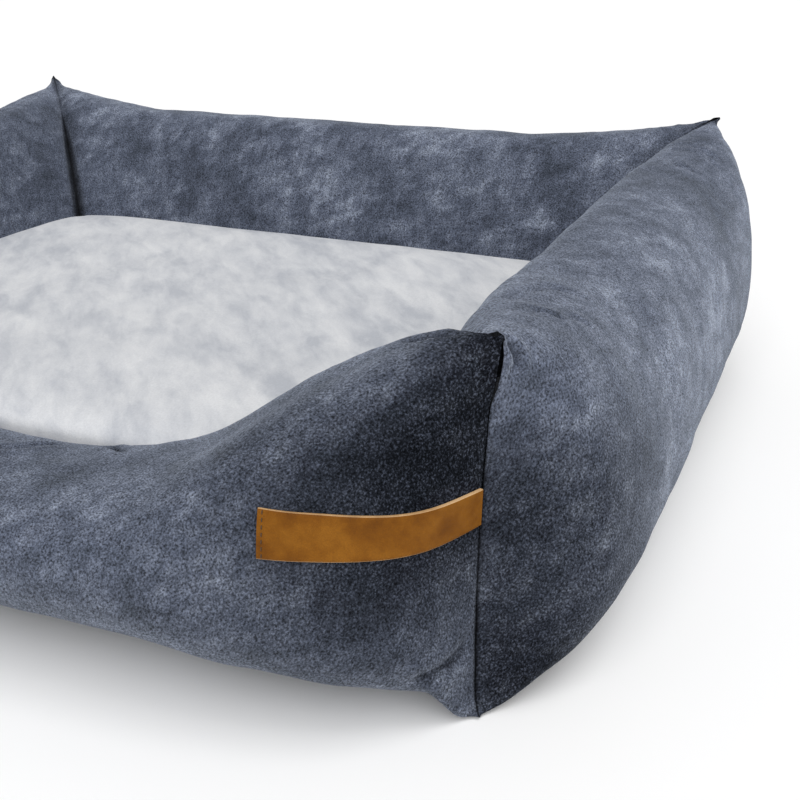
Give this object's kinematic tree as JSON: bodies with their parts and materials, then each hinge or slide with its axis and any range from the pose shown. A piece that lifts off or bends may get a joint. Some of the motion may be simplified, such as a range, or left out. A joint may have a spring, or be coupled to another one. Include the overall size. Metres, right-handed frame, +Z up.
{
  "type": "orthopedic pet bed",
  "caption": "Rectangular pet bed: stuffed velour bolster walls with eared corners and a dipped entry round a lift-out foam mattress with a zipped cover.",
  "frame": {"origin": "on the floor under the middle of the bed", "axes": "+X to the right seen from the entry, +Y from the entry to the back wall, +Z up"},
  "size_m": [1.074, 0.929, 0.2691],
  "materials": {
    "slate_velour": "short-pile slate blue-grey velour with a fine twill mark",
    "ticking": "light cool grey soft woven cloth",
    "fibre_filling": "white crimped fibre",
    "memory_foam": "cream open-cell foam",
    "support_foam": "pale blue-grey foam",
    "anti_slip": "black coated cloth with rubber dots",
    "tan_leather": "smooth cognac leather with a pale cut edge",
    "zip_tape": "dark woven tape",
    "zip_coil": "dark nylon coil",
    "zip_metal": "gunmetal"
  },
  "bodies": {
    "bed": {"cover_front": "slate_velour", "cover_back": "slate_velour", "cover_left": "slate_velour", "cover_right": "slate_velour", "filling_front": "fibre_filling", "filling_back": "fibre_filling", "filling_left": "fibre_filling", "filling_right": "fibre_filling", "base_panel": "anti_slip", "leather_label": "tan_leather", "wall_zip_tape": "zip_tape", "wall_zip_chain": "zip_coil", "wall_zip_stops": "zip_metal"},
    "mattress": {"mattress_cover_top": "ticking", "mattress_cover_band": "ticking", "mattress_cover_bottom": "ticking", "memory_foam": "memory_foam", "support_foam": "support_foam", "mattress_zip_tape": "zip_tape", "mattress_zip_chain": "zip_coil", "mattress_zip_stops": "zip_metal"},
    "wall_zip_slider": {"wall_zip_slider": "zip_metal"},
    "wall_zip_pull": {"wall_zip_pull": "zip_metal"},
    "mattress_zip_slider": {"mattress_zip_slider": "zip_metal"},
    "mattress_zip_pull": {"mattress_zip_pull": "zip_metal"}
  },
  "joints": [
    {"name": "mattress_lift", "type": "slide", "parent": "bed", "child": "mattress", "axis": [0, 0, 1], "range_m": [0, 0.3]},
    {"name": "wall_zip_slide", "type": "slide", "parent": "bed", "child": "wall_zip_slider", "axis": [-1, 0, 0], "range_m": [0, 0.572]},
    {"name": "wall_zip_pull_swing", "type": "hinge", "parent": "wall_zip_slider", "child": "wall_zip_pull", "pos_m": [0.2862, 0.43024, 0.02351], "axis": [0, -0.7724, -0.6351], "range_deg": [-90, 90]},
    {"name": "mattress_zip_slide", "type": "slide", "parent": "mattress", "child": "mattress_zip_slider", "axis": [-1, 0, 0], "range_m": [0, 0.452]},
    {"name": "mattress_zip_pull_swing", "type": "hinge", "parent": "mattress_zip_slider", "child": "mattress_zip_pull", "pos_m": [0.2262, 0.307, 0.05], "axis": [0, 0, -1], "range_deg": [0, 8]}
  ]
}
